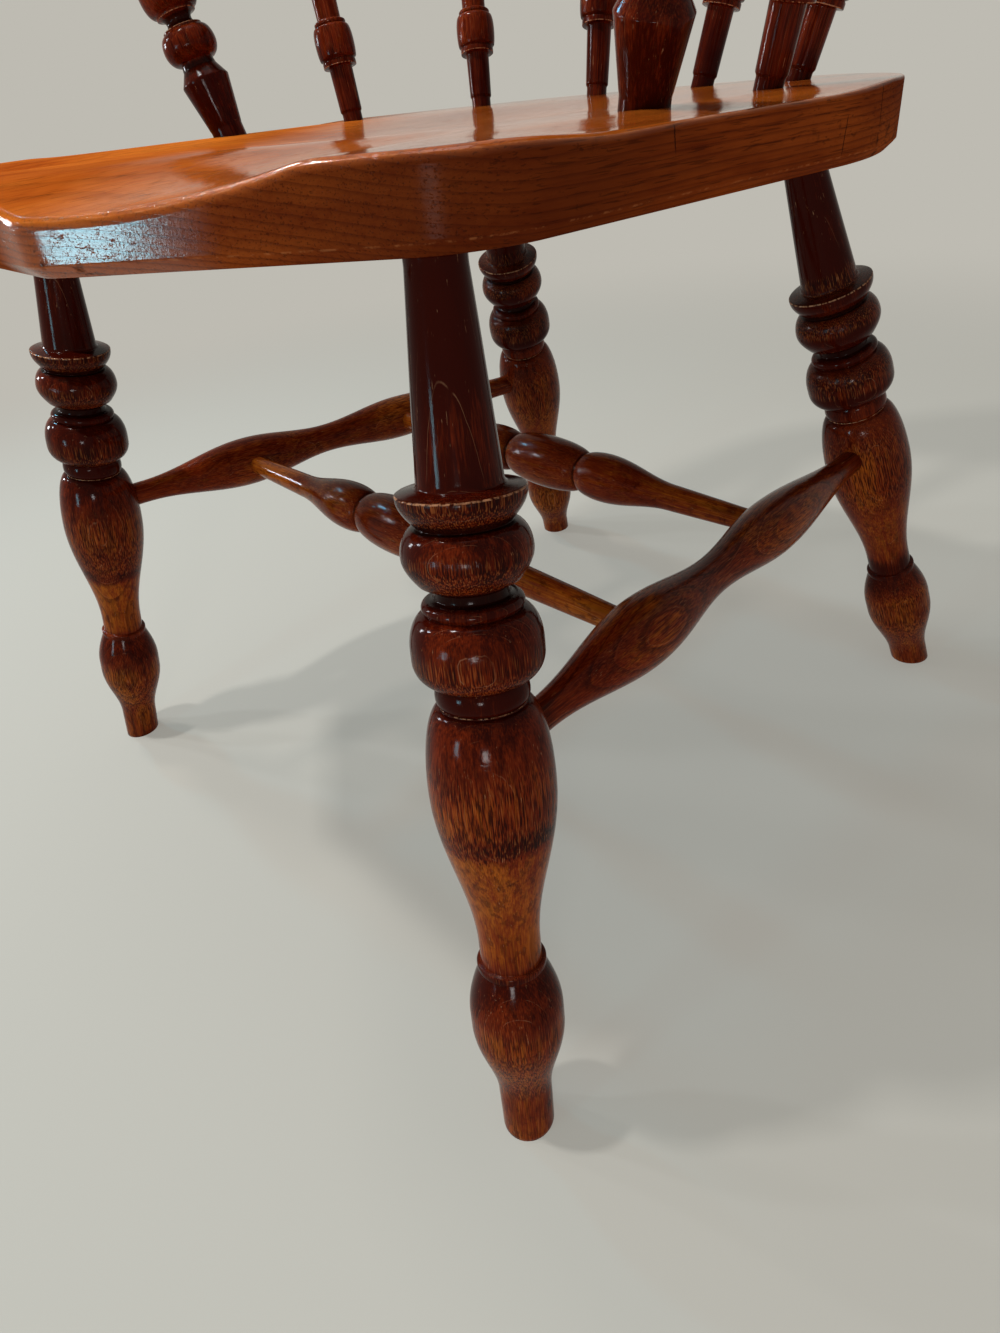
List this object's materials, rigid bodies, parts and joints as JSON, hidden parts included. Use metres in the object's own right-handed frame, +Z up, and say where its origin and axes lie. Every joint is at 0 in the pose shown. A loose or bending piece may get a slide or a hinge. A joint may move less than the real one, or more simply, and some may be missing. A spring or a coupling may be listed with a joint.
{
  "type": "windsor armchair",
  "caption": "Low-back turned wooden armchair with a saddled plank seat, raked baluster legs, double cross stretchers and a heavy arm bow with a shaped crest rail.",
  "frame": {"origin": "middle of the chair's outline on the floor", "axes": "+Z up, the sitter faces -Y, +X is on the viewer's right looking along +Y"},
  "size_m": [0.6108, 0.571, 0.7756],
  "materials": {
    "seat_wood": "glossy French-polished amber-brown elm, worn",
    "turned_wood": "glossy French-polished dark red-brown hardwood with dark crevices",
    "spindle_wood": "glossy polished dark red-brown hardwood",
    "bow_wood": "glossy polished red-brown hardwood, worn on the hands",
    "dowel_wood": "plain end-grain hardwood under old polish",
    "screw_steel": "dull darkened steel"
  },
  "bodies": {
    "root": {"seat": "seat_wood", "leg_front_left": "turned_wood", "leg_front_right": "turned_wood", "leg_back_left": "turned_wood", "leg_back_right": "turned_wood", "side_stretcher_left": "turned_wood", "side_stretcher_right": "turned_wood", "cross_stretcher_front": "turned_wood", "cross_stretcher_back": "turned_wood", "arm_stump_left": "turned_wood", "arm_stump_right": "turned_wood", "spindle_front_left": "spindle_wood", "spindle_front_right": "spindle_wood", "spindle_middle_left": "spindle_wood", "spindle_middle_right": "spindle_wood", "spindle_back_left": "spindle_wood", "spindle_back_right": "spindle_wood", "arm_bow_left": "bow_wood", "arm_bow_right": "bow_wood", "crest_rail": "bow_wood", "bow_dowels": "dowel_wood", "crest_screws": "screw_steel", "stump_wedges": "dowel_wood"}
  },
  "joints": []
}
